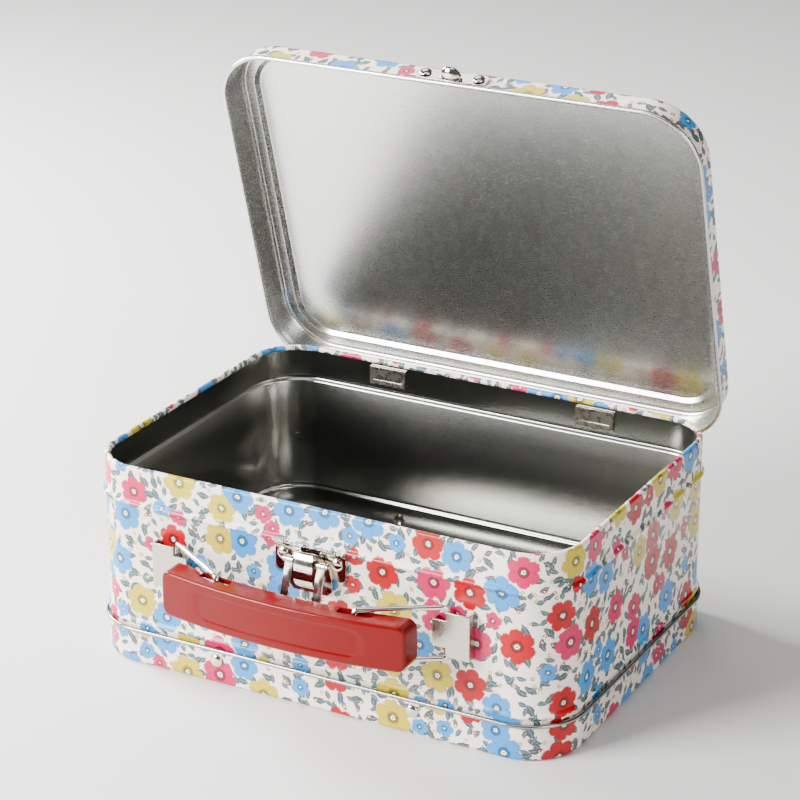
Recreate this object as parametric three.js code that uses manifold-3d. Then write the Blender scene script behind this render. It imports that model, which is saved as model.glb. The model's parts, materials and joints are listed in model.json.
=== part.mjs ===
// Metal lunch box with a hinged lid, a draw latch and a ring-mounted carrying grip.
// Millimetres. X right along the front, Y towards the hinges, Z up.
// The origin is the middle of the underside, on the surface the box stands on.
import * as THREE from 'three';
import { mergeVertices } from 'three/addons/utils/BufferGeometryUtils.js';
import Module from 'manifold-3d';

const wasm = await Module();
wasm.setup();

// Overall box: outside of the plain wall.
const HALF_X = 100;
const HALF_Y = 72.5;
const CORNER = 21;
const SHEET = 0.4;
const CORNER_STEPS = 6;
const PAN_INSET = 8;

// Body band, from the base up.
const BAND_FOOT_Z = 1.3;
const LOWER_BEAD = { z: 17.8, half: 1.6, height: 0.9 };
const STOP_BEAD = { z: 67, half: 1.8, height: 1.2 };
const RIM_TOP_Z = 82;
const RIM_RADIUS = 1.2;

// Base cap that the band stands in.
const CAP_GAP = 0.3;
const CAP_EDGE_RADIUS = 1.8;
const CAP_CURL_Z = 14.4;
const CAP_CURL_RADIUS = 0.4;

// Lid, measured with the lid shut.
const LID_GAP = 0.4;
const LID_CURL_Z = 70.5;
const LID_CURL_RADIUS = 0.9;
const LID_CURL_JOG = 0.3;
const LEDGE_Z = 82.35;
const LEDGE_RADIUS = 1.8;
const LEDGE_INNER = 5;
const PANEL_RISE = 1.6;
const LID_OPEN = THREE.MathUtils.degToRad(73.5);

// Hinges: leaf and barrel are one sheet wrapped round the pin.
const HINGE_X = 47;
const HINGE_Y = 75.8;
const HINGE_Z = 72;
const LEAF_HALF_WIDTH = 8.25;
const LEAF_SHEET = 0.6;
const LEAF_GAP = 0.3;
const LID_LEAF_TOP_Z = 80.3;
const BODY_LEAF_TOP_Z = 78;
const BARREL_RADIUS = 1.7;
const BARREL_MIDDLE = 4;
const BARREL_CLEARANCE = 0.35;
const PIN_RADIUS = 0.8;
const PIN_HEAD = 1.3;
const NOTCH_HALF_WIDTH = 9.6;
const NOTCH_TOP_Z = 73.9;

// Rivets.
const BASE_RIVET_X = 42;
const BASE_RIVET_Z = 10;
const RIVET_GAP = 0.3;
const RIVET_BORE = 1.35;
const RIVET_SHANK = 1.05;

// Draw latch. "Out" is the distance in front of the front wall.
const PLATE_OUT = 0.35;
const PLATE_SHEET = 0.8;
const PLATE_HALF_WIDTH = 14.8;
const PLATE_TOP_Z = 65.3;
const PLATE_EAR_Z = 55.2;
const PLATE_FOOT_Z = 48.5;
const PLATE_FOOT_HALF_WIDTH = 9;
const FLANGE_OUT = 3.65;
const FLANGE_Z = 67.6;
const LATCH_RIVET_X = 11.3;
const LATCH_RIVET_Z = 62.2;
const LEVER_PIVOT = { out: 4.6, z: 64.2 };
const LEVER_HALF_WIDTH = 3.85;
const LEVER_SHEET = 0.8;
const LUG_INNER = 4.15;
const LUG_OUTER = 4.75;
const LOOP_PIVOT = { out: 4.4, z: 62 };
const LOOP_INNER = 5.05;
const LOOP_OUTER = 8.3;
const LOOP_KNUCKLE = 1.3;
const LOOP_SHEET = 0.8;
const LOOP_WINDOW = 13.3;
const LOOP_LENGTH = 15.3;
const LOOP_CORNER = 1.6;
const LOOP_LEAN = THREE.MathUtils.degToRad(20);
const LATCH_PIN_RADIUS = 0.6;
const LATCH_BORE = 0.9;

// Lid catch, measured with the lid shut.
const CATCH_GAP = 0.3;
const CATCH_SHEET = 0.7;
const CATCH_RIVET_X = 11.3;
const CATCH_LOW_Z = 72.3;
const CATCH_TOP_Z = 79.3;
const CATCH_DOME_Z = 75;
const CATCH_DOME = { halfWidth: 4.8, reach: 5.4, drop: 2.7 };

// Carrying handle.
const HANDLE_Z = 46.3;
const BRACKET = {
  inner: 52,
  outer: 67,
  halfHeight: 8.85,
  out: 4.4,
  sheet: 0.8,
  notch: { x: 5.7, z: 3.5 },
};
const RING_PIVOT = { x: 57.5, out: 2.3 };
const RING_REACH = 34;
const RING_HALF_HEIGHT = 10.2;
const RING_BEND = 2;
const WIRE_RADIUS = 1;
const RING_SWING = THREE.MathUtils.degToRad(32);
const GRIP_HALF_LENGTH = 51;
const GRIP_HALF_HEIGHT = 8.9;
const GRIP_OUT = 28.5;
const GRIP_BOW = 5.5;
const GRIP_DEPTH = 9.5;
const GRIP_FACE = 2;
const GRIP_WALL = 1.8;
const GRIP_END = 2;
const GRIP_SLOT = { from: 22.6, to: 36, front: 5.05, rear: 8.35 };

const BOX = { halfX: HALF_X, halfY: HALF_Y, corner: CORNER, steps: CORNER_STEPS };

const NICKEL = { color: 0xd2cec8, roughness: 0.15, metalness: 1 };
const PRINT = { color: 0xe9e4dd, roughness: 0.25, metalness: 0 };
const RED = { color: 0xb5120f, roughness: 0.3, metalness: 0 };

const group = new THREE.Group();
group.name = 'metal_lunch_box';

// ---- Solids ----

function toSolid(geometry) {
  const bare = geometry.clone();
  bare.deleteAttribute('normal');
  bare.deleteAttribute('uv');
  const welded = mergeVertices(bare, 1e-4);
  return new wasm.Manifold(new wasm.Mesh({
    numProp: 3,
    vertProperties: new Float32Array(welded.attributes.position.array),
    triVerts: new Uint32Array(welded.index.array),
  }));
}

function toGeometry(solid) {
  const mesh = solid.getMesh();
  const geometry = new THREE.BufferGeometry();
  geometry.setAttribute('position', new THREE.BufferAttribute(mesh.vertProperties, 3));
  geometry.setIndex(new THREE.BufferAttribute(mesh.triVerts, 1));
  return geometry;
}

const join = (...geometries) => toGeometry(geometries.map(toSolid).reduce((sum, next) => sum.add(next)));

const cut = (geometry, ...tools) => toGeometry(
  tools.map(toSolid).reduce((rest, tool) => rest.subtract(tool), toSolid(geometry)),
);

function addPart(name, geometry, finish, matrix) {
  if (matrix) {
    geometry.applyMatrix4(matrix);
  }
  const flat = geometry.toNonIndexed();
  flat.computeVertexNormals();
  const mesh = new THREE.Mesh(flat, new THREE.MeshStandardMaterial(finish));
  mesh.name = name;
  group.add(mesh);
}

// ---- Outlines ----

function arc(cx, cy, radius, from, to, steps) {
  return Array.from({ length: steps + 1 }, (_, i) => {
    const angle = THREE.MathUtils.degToRad(from + ((to - from) * i) / steps);
    return [cx + radius * Math.cos(angle), cy + radius * Math.sin(angle)];
  });
}

const circle = (cx, cy, radius, steps) => arc(cx, cy, radius, 0, 360, steps).slice(0, -1);

function roundedBox(x0, y0, x1, y1, radius, steps = 3) {
  return [
    ...arc(x1 - radius, y0 + radius, radius, -90, 0, steps),
    ...arc(x1 - radius, y1 - radius, radius, 0, 90, steps),
    ...arc(x0 + radius, y1 - radius, radius, 90, 180, steps),
    ...arc(x0 + radius, y0 + radius, radius, 180, 270, steps),
  ];
}

// Gives a line of points a thickness to its right-hand side, as a closed outline.
function thicken(line, thickness) {
  const side = line.map((point, i) => {
    const before = line[Math.max(i - 1, 0)];
    const after = line[Math.min(i + 1, line.length - 1)];
    const legs = [[before, point], [point, after]].map(([a, b]) => {
      const length = Math.hypot(b[0] - a[0], b[1] - a[1]) || 1;
      return [(b[1] - a[1]) / length, -(b[0] - a[0]) / length];
    });
    const sum = [legs[0][0] + legs[1][0], legs[0][1] + legs[1][1]];
    const squared = sum[0] ** 2 + sum[1] ** 2;
    const ends = i === 0 || i === line.length - 1;
    const scale = (ends ? 1 : 2) * (thickness / squared);
    return [point[0] + sum[0] * scale, point[1] + sum[1] * scale];
  });
  return [...line, ...side.reverse()];
}

// Outward bump of a rolled bead, as points of [inset, z] going up.
function beadPoints({ z, half, height }) {
  const rise = (t) => height * Math.cos((t * Math.PI) / 2) ** 1.5;
  return [-1, -0.6, -0.25, 0.25, 0.6, 1].map((t) => [-rise(t), z + t * half]);
}

// ---- Swept and extruded shapes ----

// Sweeps an [inset, height] outline round a rounded rectangle.
// A filled sweep runs from the middle out and back to the middle, as a pan does.
function sweepRound(outline, filled = false, size = BOX) {
  const { halfX, halfY, corner, steps } = size;
  const centres = [[1, -1, -90], [1, 1, 0], [-1, 1, 90], [-1, -1, 180]];
  const around = centres.length * (steps + 1);
  const positions = [];
  outline.forEach(([inset, height]) => {
    const radius = corner - inset;
    centres.forEach(([sx, sy, start]) => {
      const cx = sx * (halfX - corner);
      const cy = sy * (halfY - corner);
      arc(cx, cy, radius, start, start + 90, steps).forEach(([x, y]) => positions.push(x, y, height));
    });
  });
  const index = [];
  const rows = outline.length;
  const spans = filled ? rows - 1 : rows;
  for (let row = 0; row < spans; row += 1) {
    const next = (row + 1) % rows;
    for (let i = 0; i < around; i += 1) {
      const j = (i + 1) % around;
      const a = row * around + i;
      const b = row * around + j;
      const c = next * around + j;
      const d = next * around + i;
      index.push(a, b, c, a, c, d);
    }
  }
  if (filled) {
    const first = rows * around;
    positions.push(0, 0, outline[0][1], 0, 0, outline[rows - 1][1]);
    for (let i = 0; i < around; i += 1) {
      const j = (i + 1) % around;
      index.push(first, j, i);
      index.push(first + 1, (rows - 1) * around + i, (rows - 1) * around + j);
    }
  }
  const geometry = new THREE.BufferGeometry();
  geometry.setAttribute('position', new THREE.Float32BufferAttribute(positions, 3));
  geometry.setIndex(index);
  return facingOut(geometry);
}

// Turns the triangles over if the geometry encloses a negative volume.
function facingOut(geometry) {
  const { array } = geometry.attributes.position;
  const index = geometry.index.array;
  const corner = (k) => new THREE.Vector3().fromArray(array, index[k] * 3);
  let volume = 0;
  for (let k = 0; k < index.length; k += 3) {
    volume += corner(k).dot(corner(k + 1).cross(corner(k + 2)));
  }
  if (volume < 0) {
    geometry.setIndex(Array.from(index).reverse());
  }
  return geometry;
}

// Points as vectors, turned anticlockwise for an outline or clockwise for a hole.
function wound(points, direction) {
  const vectors = points.map(([x, y]) => new THREE.Vector2(x, y));
  return Math.sign(THREE.ShapeUtils.area(vectors)) === direction ? vectors : vectors.reverse();
}

function extrude(points, holes, from, to, matrix) {
  const shape = new THREE.Shape(wound(points, 1));
  shape.holes = holes.map((hole) => new THREE.Path(wound(hole, -1)));
  const geometry = new THREE.ExtrudeGeometry(shape, { depth: to - from, bevelEnabled: false });
  geometry.translate(0, 0, from);
  return matrix ? geometry.applyMatrix4(matrix) : geometry;
}

const axes = (x, y, z) => new THREE.Matrix4().makeBasis(
  new THREE.Vector3(...x),
  new THREE.Vector3(...y),
  new THREE.Vector3(...z),
);

// Extrusion along X of a [y, z] outline.
const alongX = (points, from, to, holes = []) => extrude(
  points, holes, from, to, axes([0, 1, 0], [0, 0, 1], [1, 0, 0]),
);

// Extrusion of an [x, z] outline outwards from the front wall.
const outwards = (points, from, to, holes = []) => extrude(
  points, holes, HALF_Y + from, HALF_Y + to, axes([1, 0, 0], [0, 0, 1], [0, -1, 0]),
);

// Extrusion along Z of an [x, y] outline.
const upwards = (points, from, to, holes = []) => extrude(points, holes, from, to);

// The range of X between two distances from the middle, on the left (-1) or the right (1).
const span = (side, inner, outer) => [side * inner, side * outer].sort((a, b) => a - b);

// Turns [out, z] points of the latch into [y, z] points.
const front = (points) => points.map(([out, z]) => [-HALF_Y - out, z]);

const turned = (profile, steps = 16) => new THREE.LatheGeometry(
  profile.map(([radius, height]) => new THREE.Vector2(radius, height)), steps,
);

// A domed rivet: its head stands on height 0 and its shank goes down to the clinched tail.
function rivet({ head, dome, length, tail }) {
  const clinch = tail > 0
    ? [[0, -length - 0.5], [tail * 0.7, -length - 0.5], [tail, -length - 0.25], [tail, -length]]
    : [[0, -length]];
  const cap = arc(0, 0, 1, 0, 90, 5).map(([x, y]) => [head * x, dome * y]).slice(0, -1);
  return turned([...clinch, [RIVET_SHANK, -length], [RIVET_SHANK, 0], ...cap, [0, dome]]);
}

// Stands a turned piece on a wall, its top outwards: side -1 is the front wall, 1 the back wall.
function onWall(geometry, x, out, z, side) {
  const turn = new THREE.Matrix4().makeRotationX(side < 0 ? Math.PI : 0);
  const place = new THREE.Matrix4().makeTranslation(x, side * (HALF_Y + out), z);
  return geometry.applyMatrix4(place.multiply(turn));
}

const wallBore = (x, z, side) => onWall(
  turned([[0, -5], [RIVET_BORE, -5], [RIVET_BORE, 5], [0, 5]], 12), x, 0, z, side,
);

// A pin along X with a domed head at each end.
function crossPin(radius, halfLength, head) {
  const end = [
    [radius, halfLength],
    [head, halfLength],
    [head, halfLength + 0.3],
    [head * 0.6, halfLength + 0.6],
  ];
  const mirrored = end.map(([r, h]) => [r, -h]).reverse();
  const tip = halfLength + 0.6;
  return turned([[0, -tip], ...mirrored, ...end, [0, tip]], 14).rotateZ(-Math.PI / 2);
}

const box = ([x0, y0, z0], [x1, y1, z1]) => upwards([[x0, y0], [x1, y0], [x1, y1], [x0, y1]], z0, z1);

// ---- Body band ----

const bandLine = [
  [0, BAND_FOOT_Z],
  ...beadPoints(LOWER_BEAD),
  ...beadPoints(STOP_BEAD),
  ...arc(RIM_RADIUS, RIM_TOP_Z - RIM_RADIUS, RIM_RADIUS, 180, -40, 9),
];
const baseRivets = [-1, 1].flatMap((side) => [-BASE_RIVET_X, BASE_RIVET_X].map((x) => ({ x, side })));
const baseBores = baseRivets.map(({ x, side }) => wallBore(x, BASE_RIVET_Z, side));
const latchBores = [-LATCH_RIVET_X, LATCH_RIVET_X].map((x) => wallBore(x, LATCH_RIVET_Z, -1));
const webFoot = HINGE_Z - BARREL_RADIUS;
const hingeSlots = [-HINGE_X, HINGE_X].map((x) => box(
  [x - BARREL_MIDDLE - LEAF_GAP, HALF_Y - 3, webFoot - LEAF_GAP],
  [x + BARREL_MIDDLE + LEAF_GAP, HALF_Y + 3, webFoot + LEAF_SHEET + LEAF_GAP],
));
const band = sweepRound(thicken(bandLine, SHEET));
addPart('body_band', cut(band, ...baseBores, ...latchBores, ...hingeSlots), PRINT);

// ---- Base cap: a shallow pan with an outward curl ----

const capOut = CAP_GAP + SHEET;
const capLine = [
  [PAN_INSET, 0],
  ...arc(CAP_EDGE_RADIUS - capOut, CAP_EDGE_RADIUS, CAP_EDGE_RADIUS, 270, 180, 4),
  ...arc(-capOut - CAP_CURL_RADIUS, CAP_CURL_Z, CAP_CURL_RADIUS, 0, 230, 7),
];
addPart('base_cap', cut(sweepRound(thicken(capLine, SHEET), true), ...baseBores), PRINT);

baseRivets.forEach(({ x, side }) => {
  const seat = capOut + RIVET_GAP;
  const shape = rivet({ head: 2.65, dome: 1.2, length: seat + SHEET + RIVET_GAP, tail: 2.3 });
  const name = `base_rivet_${side < 0 ? 'front' : 'rear'}_${x < 0 ? 'left' : 'right'}`;
  addPart(name, onWall(shape, x, seat, BASE_RIVET_Z, side), NICKEL);
});

// ---- Lid: an upturned pan with a raised panel and a curled mouth ----

const opened = new THREE.Matrix4()
  .makeTranslation(0, HINGE_Y, HINGE_Z)
  .multiply(new THREE.Matrix4().makeRotationX(-LID_OPEN))
  .multiply(new THREE.Matrix4().makeTranslation(0, -HINGE_Y, -HINGE_Z));

const curlStart = -LID_GAP - LID_CURL_JOG;
const lidLine = [
  [PAN_INSET, LEDGE_Z + PANEL_RISE],
  [LEDGE_INNER + PANEL_RISE, LEDGE_Z + PANEL_RISE],
  [LEDGE_INNER, LEDGE_Z],
  ...arc(LEDGE_RADIUS - LID_GAP, LEDGE_Z - LEDGE_RADIUS, LEDGE_RADIUS, 90, 180, 4),
  [-LID_GAP, LID_CURL_Z + 2],
  ...arc(curlStart - LID_CURL_RADIUS, LID_CURL_Z, LID_CURL_RADIUS, 20, -220, 8),
];
const hingeNotches = [-HINGE_X, HINGE_X].map((x) => box(
  [x - NOTCH_HALF_WIDTH, HALF_Y - 3, LID_CURL_Z - 3],
  [x + NOTCH_HALF_WIDTH, HALF_Y + 5, NOTCH_TOP_Z],
));
const catchZ = (CATCH_LOW_Z + CATCH_TOP_Z) / 2;
const catchBores = [-CATCH_RIVET_X, CATCH_RIVET_X].map((x) => wallBore(x, catchZ, -1));
const lid = cut(sweepRound(thicken(lidLine, SHEET), true), ...hingeNotches, ...catchBores);
addPart('lid', lid, PRINT, opened);

// ---- Hinges ----

// A leaf in side view: up its plate, then wrapped round the pin, as [y, z] points.
const bodyLeafY = HALF_Y - SHEET - LEAF_GAP;
const lidLeafY = HALF_Y + LID_GAP + SHEET + LEAF_GAP;
const webOutline = thicken([
  ...arc(HINGE_Y, HINGE_Z, BARREL_RADIUS, 200, -90, 12),
  [bodyLeafY, webFoot],
], LEAF_SHEET);
const flapOutline = [
  [bodyLeafY - LEAF_SHEET, webFoot],
  [bodyLeafY, webFoot],
  [bodyLeafY, BODY_LEAF_TOP_Z],
  [bodyLeafY - LEAF_SHEET, BODY_LEAF_TOP_Z],
];
const lidLeafOutline = thicken([
  [lidLeafY + LEAF_SHEET, LID_LEAF_TOP_Z],
  [lidLeafY + LEAF_SHEET, HINGE_Z + 2.4],
  ...arc(HINGE_Y, HINGE_Z, BARREL_RADIUS, 175, 440, 12),
].reverse(), LEAF_SHEET);

[-1, 1].forEach((side) => {
  const x = side * HINGE_X;
  const name = side < 0 ? 'left' : 'right';
  const flap = alongX(flapOutline, x - LEAF_HALF_WIDTH, x + LEAF_HALF_WIDTH);
  const web = alongX(webOutline, x - BARREL_MIDDLE, x + BARREL_MIDDLE);
  const recess = box(
    [x - LEAF_HALF_WIDTH + 1.6, bodyLeafY - LEAF_SHEET - 1, webFoot + 2],
    [x + LEAF_HALF_WIDTH - 1.6, bodyLeafY - LEAF_SHEET + 0.25, BODY_LEAF_TOP_Z - 1.2],
  );
  addPart(`hinge_body_leaf_${name}`, cut(join(flap, web), recess), NICKEL);

  const gap = box(
    [x - BARREL_MIDDLE - BARREL_CLEARANCE, HALF_Y, HINGE_Z - 3],
    [x + BARREL_MIDDLE + BARREL_CLEARANCE, HINGE_Y + 3, NOTCH_TOP_Z + 0.4],
  );
  const leaf = alongX(lidLeafOutline, x - LEAF_HALF_WIDTH, x + LEAF_HALF_WIDTH);
  addPart(`hinge_lid_leaf_${name}`, cut(leaf, gap), NICKEL, opened);

  const pin = crossPin(PIN_RADIUS, LEAF_HALF_WIDTH + LEAF_GAP, PIN_HEAD);
  addPart(`hinge_pin_${name}`, pin.translate(x, HINGE_Y, HINGE_Z), NICKEL);
});

// ---- Lid catch: a plate with a half dome, flat side up ----

const catchOut = LID_GAP + SHEET + CATCH_GAP;
const catchPlate = outwards(
  roundedBox(-PLATE_HALF_WIDTH, CATCH_LOW_Z, PLATE_HALF_WIDTH, CATCH_TOP_Z, 2.6),
  catchOut,
  catchOut + CATCH_SHEET,
  [-CATCH_RIVET_X, CATCH_RIVET_X].map((x) => circle(x, catchZ, RIVET_BORE, 12)),
);
const dome = new THREE.SphereGeometry(1, 14, 10);
dome.scale(CATCH_DOME.halfWidth, CATCH_DOME.reach, CATCH_DOME.drop);
dome.translate(0, -HALF_Y - catchOut - CATCH_SHEET / 2, CATCH_DOME_Z);
const domeTrim = [
  box([-9, -HALF_Y - 20, CATCH_DOME_Z], [9, -HALF_Y + 9, CATCH_DOME_Z + 9]),
  box([-9, -HALF_Y - catchOut, CATCH_DOME_Z - 9], [9, -HALF_Y + 9, CATCH_DOME_Z + 9]),
];
addPart('lid_catch', join(catchPlate, cut(dome, ...domeTrim)), NICKEL, opened);

[-1, 1].forEach((side) => {
  const seat = catchOut + CATCH_SHEET + RIVET_GAP;
  const shape = rivet({ head: 2.4, dome: 1.1, length: seat - LID_GAP - 0.05, tail: 0 });
  const name = `catch_rivet_${side < 0 ? 'left' : 'right'}`;
  addPart(name, onWall(shape, side * CATCH_RIVET_X, seat, catchZ, -1), NICKEL, opened);
});

// ---- Latch base plate, with lugs and stub pins for the loop ----

const plateFace = PLATE_OUT + PLATE_SHEET;
const plateHoles = [-LATCH_RIVET_X, LATCH_RIVET_X].map((x) => circle(x, LATCH_RIVET_Z, RIVET_BORE, 12));
const plateOutline = [
  [-PLATE_FOOT_HALF_WIDTH + 2, PLATE_FOOT_Z],
  [PLATE_FOOT_HALF_WIDTH - 2, PLATE_FOOT_Z],
  [PLATE_FOOT_HALF_WIDTH, PLATE_FOOT_Z + 2],
  [PLATE_FOOT_HALF_WIDTH, PLATE_EAR_Z + 1],
  ...arc(PLATE_HALF_WIDTH - 2.5, PLATE_EAR_Z + 2.5, 2.5, -90, 0, 4),
  [PLATE_HALF_WIDTH, PLATE_TOP_Z],
  [-PLATE_HALF_WIDTH, PLATE_TOP_Z],
  ...arc(2.5 - PLATE_HALF_WIDTH, PLATE_EAR_Z + 2.5, 2.5, 180, 270, 4),
  [-PLATE_FOOT_HALF_WIDTH, PLATE_EAR_Z + 1],
  [-PLATE_FOOT_HALF_WIDTH, PLATE_FOOT_Z + 2],
];
const plate = outwards(plateOutline, PLATE_OUT, plateFace, plateHoles);
const flange = alongX(front([
  [PLATE_OUT, PLATE_TOP_Z - 0.6],
  [plateFace, PLATE_TOP_Z - 0.6],
  [plateFace, PLATE_TOP_Z],
  [FLANGE_OUT, FLANGE_Z],
  [FLANGE_OUT - 0.5, FLANGE_Z + 0.6],
  [PLATE_OUT + 0.5, PLATE_TOP_Z + 0.1],
  [PLATE_OUT, PLATE_TOP_Z],
]), -PLATE_HALF_WIDTH, PLATE_HALF_WIDTH);
const lugOutline = front([
  [PLATE_OUT + 0.4, LOOP_PIVOT.z - 3],
  [LOOP_PIVOT.out, LOOP_PIVOT.z - 1.5],
  [LOOP_PIVOT.out + 1.3, LOOP_PIVOT.z - 0.6],
  [LEVER_PIVOT.out + 1.4, LEVER_PIVOT.z + 0.3],
  [LEVER_PIVOT.out + 0.6, LEVER_PIVOT.z + 1.3],
  [PLATE_OUT + 0.4, PLATE_TOP_Z - 0.1],
]);
const leverBore = front(circle(LEVER_PIVOT.out, LEVER_PIVOT.z, LATCH_BORE, 12));
const stub = front(circle(LOOP_PIVOT.out, LOOP_PIVOT.z, LATCH_PIN_RADIUS, 12));
const stubHead = front(circle(LOOP_PIVOT.out, LOOP_PIVOT.z, LOOP_KNUCKLE - 0.1, 12));
const lugs = [-1, 1].flatMap((side) => [
  alongX(lugOutline, ...span(side, LUG_INNER, LUG_OUTER), [leverBore]),
  alongX(stub, ...span(side, LUG_INNER + 0.2, LOOP_OUTER + 0.6)),
  alongX(stubHead, ...span(side, LOOP_OUTER + 0.35, LOOP_OUTER + 0.9)),
]);
addPart('latch_base', join(plate, flange, ...lugs), NICKEL);

[-1, 1].forEach((side) => {
  const seat = plateFace + RIVET_GAP;
  const shape = rivet({ head: 2.4, dome: 1.1, length: seat + SHEET + RIVET_GAP, tail: 2 });
  const name = `latch_rivet_${side < 0 ? 'left' : 'right'}`;
  addPart(name, onWall(shape, side * LATCH_RIVET_X, seat, LATCH_RIVET_Z, -1), NICKEL);
});

// ---- Latch lever: a hood folded from one sheet, turning on a plain pin ----

const leverFront = [
  [2.6, 65.6],
  [5.6, 65.8],
  [6.2, 65.2],
  [7, 57.2],
  [6.8, 55.4],
  [6.1, 53.8],
  [4.9, 52.3],
  [3.2, 51.2],
];
const leverSide = [...leverFront, [2.8, 51.9], [3.3, 54.5], [2.2, 61], [2.2, 64.8]];
const leverSkin = thicken(leverFront, LEVER_SHEET);
const leverWalls = [-1, 1].map((side) => alongX(
  front(leverSide), ...span(side, LEVER_HALF_WIDTH - LEVER_SHEET, LEVER_HALF_WIDTH), [leverBore],
));
const lever = join(alongX(front(leverSkin), -LEVER_HALF_WIDTH, LEVER_HALF_WIDTH), ...leverWalls);
addPart('latch_lever', lever, NICKEL);

const leverPin = turned([
  [0, -LUG_OUTER],
  [LATCH_PIN_RADIUS, -LUG_OUTER],
  [LATCH_PIN_RADIUS, LUG_OUTER],
  [0, LUG_OUTER],
], 12).rotateZ(-Math.PI / 2);
addPart('latch_lever_pin', leverPin.translate(0, -HALF_Y - LEVER_PIVOT.out, LEVER_PIVOT.z), NICKEL);

// ---- Latch loop: two flat legs and a cross-bar, hanging from the stub pins ----

const loopOutline = [
  [LOOP_OUTER, 0],
  [LOOP_INNER, 0],
  [LOOP_INNER, LOOP_WINDOW],
  [-LOOP_INNER, LOOP_WINDOW],
  [-LOOP_INNER, 0],
  [-LOOP_OUTER, 0],
  ...arc(LOOP_CORNER - LOOP_OUTER, LOOP_LENGTH - LOOP_CORNER, LOOP_CORNER, 180, 90, 4),
  ...arc(LOOP_OUTER - LOOP_CORNER, LOOP_LENGTH - LOOP_CORNER, LOOP_CORNER, 90, 0, 4),
];
const knuckles = [-1, 1].map((side) => alongX(
  circle(0, 0, LOOP_KNUCKLE, 16), ...span(side, LOOP_INNER, LOOP_OUTER),
));
const eye = alongX(circle(0, 0, LATCH_BORE, 12), -LOOP_OUTER - 1, LOOP_OUTER + 1);
const loop = cut(join(extrude(loopOutline, [], -LOOP_SHEET / 2, LOOP_SHEET / 2), ...knuckles), eye);
const lean = axes(
  [1, 0, 0],
  [0, -Math.sin(LOOP_LEAN), -Math.cos(LOOP_LEAN)],
  [0, Math.cos(LOOP_LEAN), -Math.sin(LOOP_LEAN)],
).setPosition(0, -HALF_Y - LOOP_PIVOT.out, LOOP_PIVOT.z);
addPart('latch_loop', loop, NICKEL, lean);

// ---- Handle brackets ----

[-1, 1].forEach((side) => {
  const { inner, outer, halfHeight, out, sheet, notch } = BRACKET;
  const shoulder = halfHeight - notch.z;
  const faceOutline = [
    [inner, -shoulder],
    [inner + notch.x, -shoulder],
    [inner + notch.x, -halfHeight],
    [outer, -halfHeight],
    [outer, halfHeight],
    [inner + notch.x, halfHeight],
    [inner + notch.x, shoulder],
    [inner, shoulder],
  ].map(([x, z]) => [side * x, HANDLE_Z + z]);
  const wall = (x, half) => outwards([
    [side * x, HANDLE_Z - half],
    [side * (x + sheet), HANDLE_Z - half],
    [side * (x + sheet), HANDLE_Z + half],
    [side * x, HANDLE_Z + half],
  ], LEAF_GAP, out - sheet / 2);
  const face = outwards(faceOutline, out - sheet, out);
  const cover = join(face, wall(inner, shoulder), wall(outer - sheet, halfHeight));
  addPart(`handle_bracket_${side < 0 ? 'left' : 'right'}`, cover, NICKEL);
});

// ---- Wire rings, each turning on its leg behind a bracket ----

[-1, 1].forEach((side) => {
  const ring = sweepRound(circle(0, 0, WIRE_RADIUS, 8), false, {
    halfX: RING_REACH / 2,
    halfY: RING_HALF_HEIGHT,
    corner: RING_BEND,
    steps: 4,
  });
  ring.translate(-side * (RING_REACH / 2), 0, 0);
  ring.rotateX(Math.PI / 2);
  ring.rotateZ(side * RING_SWING);
  ring.translate(side * RING_PIVOT.x, -HALF_Y - RING_PIVOT.out, HANDLE_Z);
  addPart(`handle_ring_${side < 0 ? 'left' : 'right'}`, ring, NICKEL);
});

// ---- Grip: a bowed channel, open at the back ----

// Outline in plan between two depths behind the bowed face, as [x, out] points.
function bowed(from, to, front0, rear, steps) {
  const bow = (x) => GRIP_OUT - GRIP_BOW * (x / GRIP_HALF_LENGTH) ** 2;
  const xs = Array.from({ length: steps + 1 }, (_, i) => from + ((to - from) * i) / steps);
  return [
    ...xs.map((x) => [x, -HALF_Y - bow(x) + front0]),
    ...xs.reverse().map((x) => [x, -HALF_Y - bow(x) + rear]),
  ];
}

const bowedBlock = (from, to, front0, rear, low, high, steps) => upwards(
  bowed(from, to, front0, rear, steps), HANDLE_Z + low, HANDLE_Z + high,
);
const endMask = outwards(roundedBox(
  -GRIP_HALF_LENGTH,
  HANDLE_Z - GRIP_HALF_HEIGHT,
  GRIP_HALF_LENGTH,
  HANDLE_Z + GRIP_HALF_HEIGHT,
  3.5,
  5,
), 0, GRIP_OUT + 5);
const gripBlock = bowedBlock(
  -GRIP_HALF_LENGTH - 1, GRIP_HALF_LENGTH + 1, 0, GRIP_DEPTH, -GRIP_HALF_HEIGHT, GRIP_HALF_HEIGHT, 26,
);
const channelX = GRIP_HALF_LENGTH - GRIP_END;
const channelZ = GRIP_HALF_HEIGHT - GRIP_WALL;
const channel = bowedBlock(-channelX, channelX, GRIP_FACE, GRIP_DEPTH + 4, -channelZ, channelZ, 24);
const gripSlots = [-1, 1].map((side) => {
  const [from, to] = span(side, GRIP_SLOT.from, GRIP_SLOT.to);
  return bowedBlock(from, to, GRIP_SLOT.front, GRIP_SLOT.rear, -GRIP_HALF_HEIGHT - 1, GRIP_HALF_HEIGHT + 1, 4);
});
const grip = toGeometry(
  toSolid(gripBlock)
    .intersect(toSolid(endMask))
    .subtract(toSolid(channel))
    .subtract(toSolid(gripSlots[0]))
    .subtract(toSolid(gripSlots[1])),
);
addPart('handle_grip', grip, RED);

export default group;
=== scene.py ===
# %% [markdown]
# # A printed tin lunch box, open on a table
# The hard geometry of this lunch box is already fixed by a CAD model: every sheet, rivet and wire has its
# place. What is left to do in Blender is what the eye notices: soft bends in thin sheet metal, a glossy
# floral print, grainy bare tinplate inside and bright plated hardware. We load the CAD part first and then
# lay finer pieces over it, so that size and joints can't drift.

import json
import math

import bmesh
import bpy
import numpy as np
from mathutils import Matrix, Vector


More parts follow.
